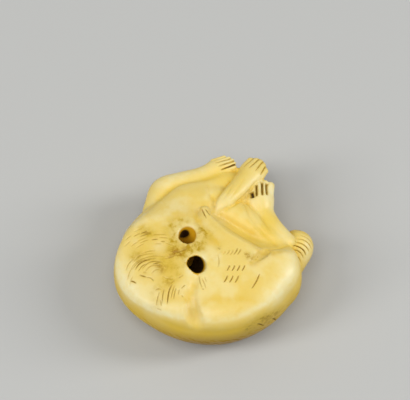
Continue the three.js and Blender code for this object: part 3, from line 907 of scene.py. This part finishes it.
# %% Stains, and a painted shadow beside the big toe
stain_and_shadow = spots([
    (-2.6, 0.5, 1.4, 0.9), (-2.0, -1.1, 1.3, 0.8), (-2.6, -2.6, 1.4, 0.9), (-4.4, -3.1, 1.3, 1.2),
    (-6.0, -3.5, 1.5, 1.2), (-8.0, -4.1, 1.4, 1.0), (-8.3, -1.2, 1.4, 1.0), (-9.0, 0.9, 1.3, 1.1),
    (-9.4, -2.8, 1.3, 0.25), (-6.3, 2.9, 1.5, 0.8), (-8.4, 2.6, 1.3, 0.6), (-11.1, -7.5, 1.4, 0.6),
    (-10.4, -4.8, 1.5, 0.45), (-9.4, -6.8, 1.8, 0.35), (-7.4, -7.0, 1.5, 0.45), (-9.0, -9.9, 1.6, 0.55),
    (-10.4, -11.5, 1.4, 0.8), (-7.6, -8.8, 1.2, 0.5), (-16.4, -4.9, 1.4, 1.1), (-14.3, 0.2, 1.3, 0.9),
    (-14.9, 1.9, 1.0, 0.6), (-12.6, 0.4, 1.1, 0.5), (-12.8, -5.2, 1.3, 0.6), (-12.6, -12.4, 1.2, 0.6),
    (-12.3, -15.6, 1.6, 0.6), (-17.6, -9.9, 0.9, 0.5), (7.2, -4.8, 0.9, 0.7), (0.9, -3.2, 1.0, 0.4),
    (8.1, -6.1, 0.8, 0.7), (8.8, -5.3, 0.9, 0.9), (9.5, -4.9, 17.9, 0.8, 0.8),
    (10.4, -4.5, 17.7, 0.9, 0.6), (11.7, -4.0, 17.4, 0.9, 0.4), (0.4, 2.3, 18.3, 2.5, 0.25),
    (9.4, 1.3, 15.5, 2.5, 0.2), (-5.7, -4.8, 0.9, 0.7), (-5.9, -6.6, 0.8, 0.6), (-2.9, -0.6, 0.9, 0.5),
    # the patch at 7.9, 10.4 is a painted shadow of the near hand beside the big toe
    (-2.4, 0.9, 1.0, 0.4), (7.9, 10.4, 15.2, 0.9, 1.1), (-3.6, 4.6, 0.8, 0.4), (-3.2, 2.8, 0.8, 0.5),
    (-2.1, 1.3, 0.8, 0.5), (-0.6, -0.4, 0.8, 0.4), (9.8, -17.4, 12, 2.4, 1.5),
    (12.5, -15.5, 11, 2, 1.7), (7.8, -18.6, 11, 2, 1.5), (-14.8, -9.3, 0.9, 0.4),
    (-4.4, -16.5, 17.5, 2, 0.4),
])
print("the stains cover", round(float(np.clip(stain_and_shadow, 0, 1).mean()) * 100, 1), "%")

# %% Specks, and warm patches
speck = spots([
    (-8.1, -4.1, 0.8, 1.1), (-7.0, -4.5, 0.5, 0.8), (-6.1, -3.3, 0.6, 0.5), (-16.9, -5.3, 0.6, 0.8),
    (-15.9, -4.8, 0.6, 0.7), (-11.3, -7.1, 0.55, 0.9), (-10.8, -8.2, 0.5, 1.0), (-10.2, -7.5, 0.4, 0.8),
    (-12.0, -6.9, 0.4, 0.7), (7.1, -4.9, 0.45, 0.9), (6.6, -4.6, 0.35, 0.7), (8.2, -5.3, 0.35, 0.7),
    (-14.2, 0.5, 0.5, 0.7), (-9.2, -4.9, 0.5, 0.6), (-3.0, 0.2, 0.4, 0.5), (-9.4, -10.9, 0.5, 0.5),
    (-13.6, -18.0, 15, 0.4, 0.6),
])
warm = spots([
    (-15, -1, 17, 5, 0.35), (-9, 3.5, 18, 5.5, 0.3), (-5, 7.5, 17, 4.5, 0.35), (0, 4, 18, 4, 0.25),
    (3, -1.8, 18, 4, 0.1), (8, 4, 16, 4, 0.15), (-9.5, -5, 18, 4, 0.4), (-10, -9, 18, 3, 0.4),
    (-2.5, -1, 18, 3, 0.4), (6, -14, 18, 5, 0.3), (-1, -15, 18, 4, 0.3), (9.5, -8, 18, 4, 0.3),
    (-4.1, -17, 17, 2, 0.6), (9.4, 1.3, 15.5, 2.5, 0.4), (10.5, -4.6, 17.7, 2, 0.5),
])
print("the warm patches cover", round(float(np.clip(warm, 0, 1).mean()) * 100, 1), "%")

# %% Pale patches: worn places, and painted highlights along the rims and on the lower left wall
pale = rim + (1 - 0.8 * hollow) * spots([
    (-6, -12.4, 18.3, 1.6, 0.6), (-11.2, -2.9, 18, 1.6, 0.5), (-12.4, -8, 18, 1.5, 0.4),
    (7.2, 9.1, 15, 1.5, 0.6), (15, 1, 14.5, 1.8, 0.5), (-20.3, -1.5, 15, 2.2, 0.3),
    (-20.2, -4.7, 15, 2.2, 0.4), (-19.7, -8, 15, 2.3, 0.6), (-18.5, -11, 15, 2.6, 0.8),
    (16.3, -8.3, 16.5, 2.5, 0.6), (15, -11.5, 16.5, 2.5, 0.6), (13, -14, 16.5, 2.5, 0.6),
    (-7, 15, 14, 3.5, 0.7), (-11, 13.5, 14, 3, 0.5), (-12.5, 9, 13, 3, 0.3), (-2, 17, 14, 2.5, 0.5),
    (3, 19.5, 14, 2.5, 0.7), (8.5, 18, 14, 2.5, 0.4), (10, 12.5, 14.5, 2.8, 1),
    (12.5, 11, 13.5, 2.2, 0.7), (20, 0.5, 11.5, 3, 0.6), (19, -2, 11, 2.5, 0.4),
    (14.5, 3.5, 13.5, 2, 0.5), (12.9, 8, 13.5, 1.8, 0.6), (-1.8, -17.6, 17.8, 1.6, 0.5),
    (-8, -17, 17.5, 2.5, 0.4), (-16.5, -12.5, 15.5, 2.5, 0.6), (-13.5, -15.2, 15, 2.5, 0.5),
])

# %% Painted shade inside the cord holes
NEAR_WALL, NEAR_MOUTH = 0.4, 4  # how close to a hole's wall, and to its mouth, the skin counts as its own
DARK_SPOT = spot((-6.1, 1, 16.5), 0.85)
# how deep in a hole's painted shade each point lies: amber near the mouth, dark further in
painted_hole_shade = np.zeros(len(points))
for hole, mouth in zip(cord_holes, HOLE_MOUTHS):
    inside = (hole(points) < NEAR_WALL) & (np.linalg.norm(points[:, :2] - mouth[:2], axis=1) < NEAR_MOUTH)
    down = mouth[2] - z
    turned = down + 0.9 * (mouth[0] - x)  # the light reaches further down the right side
    if mouth is HOLE_MOUTHS[0]:  # its wall stays amber round one dark spot
        shade = 0.3 + 1.2 * DARK_SPOT + np.clip((turned - 1.5) / 10, 0, 0.2)
    else:
        shade = (turned + 0.8) / 2.4
    painted_hole_shade = np.maximum(painted_hole_shade, inside * np.clip(shade, 0, 1) * np.clip((down - 0.2) / 0.5, 0, 1))


# %% Write the patches on the skin
def paint(name, values):
    attribute = skin.attributes.new(name, "FLOAT", "POINT")
    attribute.data.foreach_set("value", np.clip(values, 0, 1).astype(np.float32))


painted = dict(ink_and_shadow=ink_and_shadow, hollow=hollow, ridge=ridge, patina=patina, low=low, stain_and_shadow=stain_and_shadow, speck=speck,
               warm=warm, pale=pale, painted_hole_shade=painted_hole_shade)
for name, values in painted.items():
    paint(name, values)
    print(name, "covers", round(float(np.clip(values, 0, 1).mean()) * 100, 1), "%")

# %% [markdown]
# ## Ivory
#
# The material reads those patches and mixes cream, gold and brown between them. Its numbers are written
# as plain expressions: a small class wraps a socket, and each operator adds a Math node.

# %% Values that flow between nodes
class Value:
    """A number or colour that flows out of a node."""

    def __init__(self, finish, socket):
        self.finish, self.socket = finish, socket

    def math(self, operation, first, second):
        return self.finish.node("ShaderNodeMath", {0: first, 1: second}, operation=operation)

    def __add__(self, other):
        return self.math("ADD", self, other)

    def __sub__(self, other):
        return self.math("SUBTRACT", self, other)

    def __rsub__(self, other):
        return self.math("SUBTRACT", other, self)

    def __mul__(self, other):
        return self.math("MULTIPLY", self, other)

    def limited(self):
        return self.finish.node("ShaderNodeClamp", {"Value": self})

    __radd__, __rmul__ = __add__, __mul__


# %% A material and its nodes
class Finish:
    """A material, and the one method that makes its nodes."""

    def __init__(self, name):
        self.material = bpy.data.materials.new(name)
        self.material.use_nodes = True
        self.tree = self.material.node_tree
        self.tree.nodes.clear()

    def node(self, kind, inputs=None, output=0, **settings):
        made = self.tree.nodes.new(kind)
        for name, value in settings.items():
            setattr(made, name, value)
        for name, value in (inputs or {}).items():
            if isinstance(value, Value):
                self.tree.links.new(value.socket, made.inputs[name])
            else:
                made.inputs[name].default_value = value
        return Value(self, made.outputs[output]) if made.outputs else None

    def patch(self, name):
        return self.node("ShaderNodeAttribute", output="Fac", attribute_name=name)

    def mix(self, share, one, other):
        inputs = {"Factor": share, 6: one, 7: other}
        return self.node("ShaderNodeMix", inputs, output=2, data_type="RGBA")

    def noise(self, place, scale, roughness=0.5):
        inputs = {"Vector": place, "Scale": scale, "Detail": 3, "Roughness": roughness}
        return self.node("ShaderNodeTexNoise", inputs)

    def between(self, value, low, high):
        """0 below low, 1 above high, smooth between."""
        inputs = {"Value": value, "From Min": low, "From Max": high}
        return self.node("ShaderNodeMapRange", inputs, interpolation_type="SMOOTHSTEP")


# %% Colours of old ivory
CREAM = (0.86, 0.66, 0.19, 1)  # the ivory itself
# PALE also colours the pale patches, which are partly painted highlights
PALE = (0.90, 0.79, 0.42, 1)  # worn ridges
GOLD = (0.80, 0.55, 0.085, 1)  # hollows
HONEY = (0.86, 0.58, 0.035, 1)  # the wall
# UMBER darkens the lower wall, partly as stain and partly as painted shade
UMBER = (0.33, 0.165, 0.004, 1)  # low on the wall
OLIVE = (0.58, 0.385, 0.012, 1)  # stains
# BROWN also darkens the painted shadow beside the big toe
BROWN = (0.38, 0.19, 0.006, 1)  # the middle of stains, and specks
AMBER = (0.72, 0.39, 0.012, 1)  # the wall of a cord hole
SEPIA = (0.34, 0.19, 0.008, 1)  # hair lines
# the darkest colour: residue in the deepest lines, and painted shade deep in a cord hole
SOOT_AND_SHADE = (0.02, 0.01, 0.004, 1)  # the darkest lines, and deep in a hole


# %% Ivory material
def ivory():
    finish = Finish("old_ivory")
    place = finish.node("ShaderNodeTexCoord", output="Object")
    cloud = finish.noise(place, 150)  # patches about 7 mm across
    mottle = finish.noise(place, 700)  # about 1.5 mm
    grit = finish.noise(place, 1500, roughness=0.6)  # and under 1 mm
    ink_and_shadow, hollow, ridge = (finish.patch(name) for name in ("ink_and_shadow", "hollow", "ridge"))
    patina, stain_and_shadow, speck = (finish.patch(name) for name in ("patina", "stain_and_shadow", "speck"))
    low, painted_hole_shade, warm, pale = (finish.patch(name) for name in ("low", "painted_hole_shade", "warm", "pale"))

    clouded = finish.between(cloud, 0.42, 0.7) * 0.35 + finish.between(mottle, 0.5, 0.75) * 0.2
    golden = hollow * 0.75 + warm + clouded
    colour = finish.mix(golden.limited(), CREAM, GOLD)
    worn = ridge * finish.between(mottle, 0.25, 0.55) * 0.6 + finish.between(cloud, 0.5, 0.36) * 0.35
    colour = finish.mix(worn.limited(), colour, PALE)
    aged = patina * (0.8 + 0.2 * finish.between(cloud, 0.35, 0.65))
    colour = finish.mix(aged.limited(), colour, HONEY)
    colour = finish.mix((low * 0.85).limited(), colour, UMBER)
    # the pale patches and rim: wear, and painted highlights
    rubbed_and_highlit = pale * (0.75 + 0.25 * finish.between(mottle, 0.4, 0.6))
    colour = finish.mix(rubbed_and_highlit.limited(), colour, PALE)
    broken = 0.4 + 0.5 * finish.between(mottle, 0.36, 0.64)
    blotch = stain_and_shadow * broken * (0.8 + 0.4 * finish.between(grit, 0.36, 0.64))
    colour = finish.mix(blotch.limited(), colour, OLIVE)
    colour = finish.mix((blotch * 0.9 - 0.5).limited(), colour, BROWN)
    colour = finish.mix((speck * finish.between(grit, 0.35, 0.55)).limited(), colour, BROWN)
    # the dark of the cuts: residue, and beside the big toe a painted shadow
    colour = finish.mix((ink_and_shadow * (1.1 + 0.6 * finish.between(grit, 0.3, 0.6))).limited(), colour, SEPIA)
    colour = finish.mix(finish.between(ink_and_shadow, 0.7, 1.05), colour, SOOT_AND_SHADE)
    # inside the cord holes: amber on the wall near the mouth, painted shade further in
    colour = finish.mix(finish.between(painted_hole_shade, 0.0, 0.25), colour, AMBER)
    colour = finish.mix(finish.between(painted_hole_shade, 0.35, 0.8), colour, SOOT_AND_SHADE)

    roughness = (0.34 + hollow * 0.15 + ink_and_shadow * 0.4 + finish.between(mottle, 0.4, 0.7) * 0.1).limited()
    height = mottle * 0.4 + grit * 0.2
    bump = finish.node("ShaderNodeBump", {"Height": height, "Strength": 0.15, "Distance": 0.0004})
    shader = finish.node("ShaderNodeBsdfPrincipled", {
        "Base Color": colour, "Roughness": roughness, "Normal": bump, "IOR": 1.5, "Specular IOR Level": 0.25,
        "Subsurface Weight": 0.1, "Subsurface Radius": (0.8, 0.55, 0.2), "Subsurface Scale": 0.001,
        "Coat Weight": (1 - patina) * 0.2, "Coat Roughness": 0.25,
    })
    finish.node("ShaderNodeOutputMaterial", {"Surface": shader})
    return finish.material


# %% Floor material
def paint_floor():
    finish = Finish("pale_floor")
    shader = finish.node("ShaderNodeBsdfPrincipled", {"Base Color": (0.52, 0.52, 0.5, 1), "Roughness": 0.9})
    finish.node("ShaderNodeOutputMaterial", {"Surface": shader})
    return finish.material


floor.data.materials.append(paint_floor())
skin.materials.append(ivory())
print(len(skin.materials[0].node_tree.nodes), "nodes make the ivory")

# %% [markdown]
# ## Finish
#
# The carving goes back to metres, rides on the object's one body and stands for the plain solid.

# %% Hand over
put(skin, points * MM)
skin.shade_smooth()
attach(carving, "root")
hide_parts("curled_monkey")
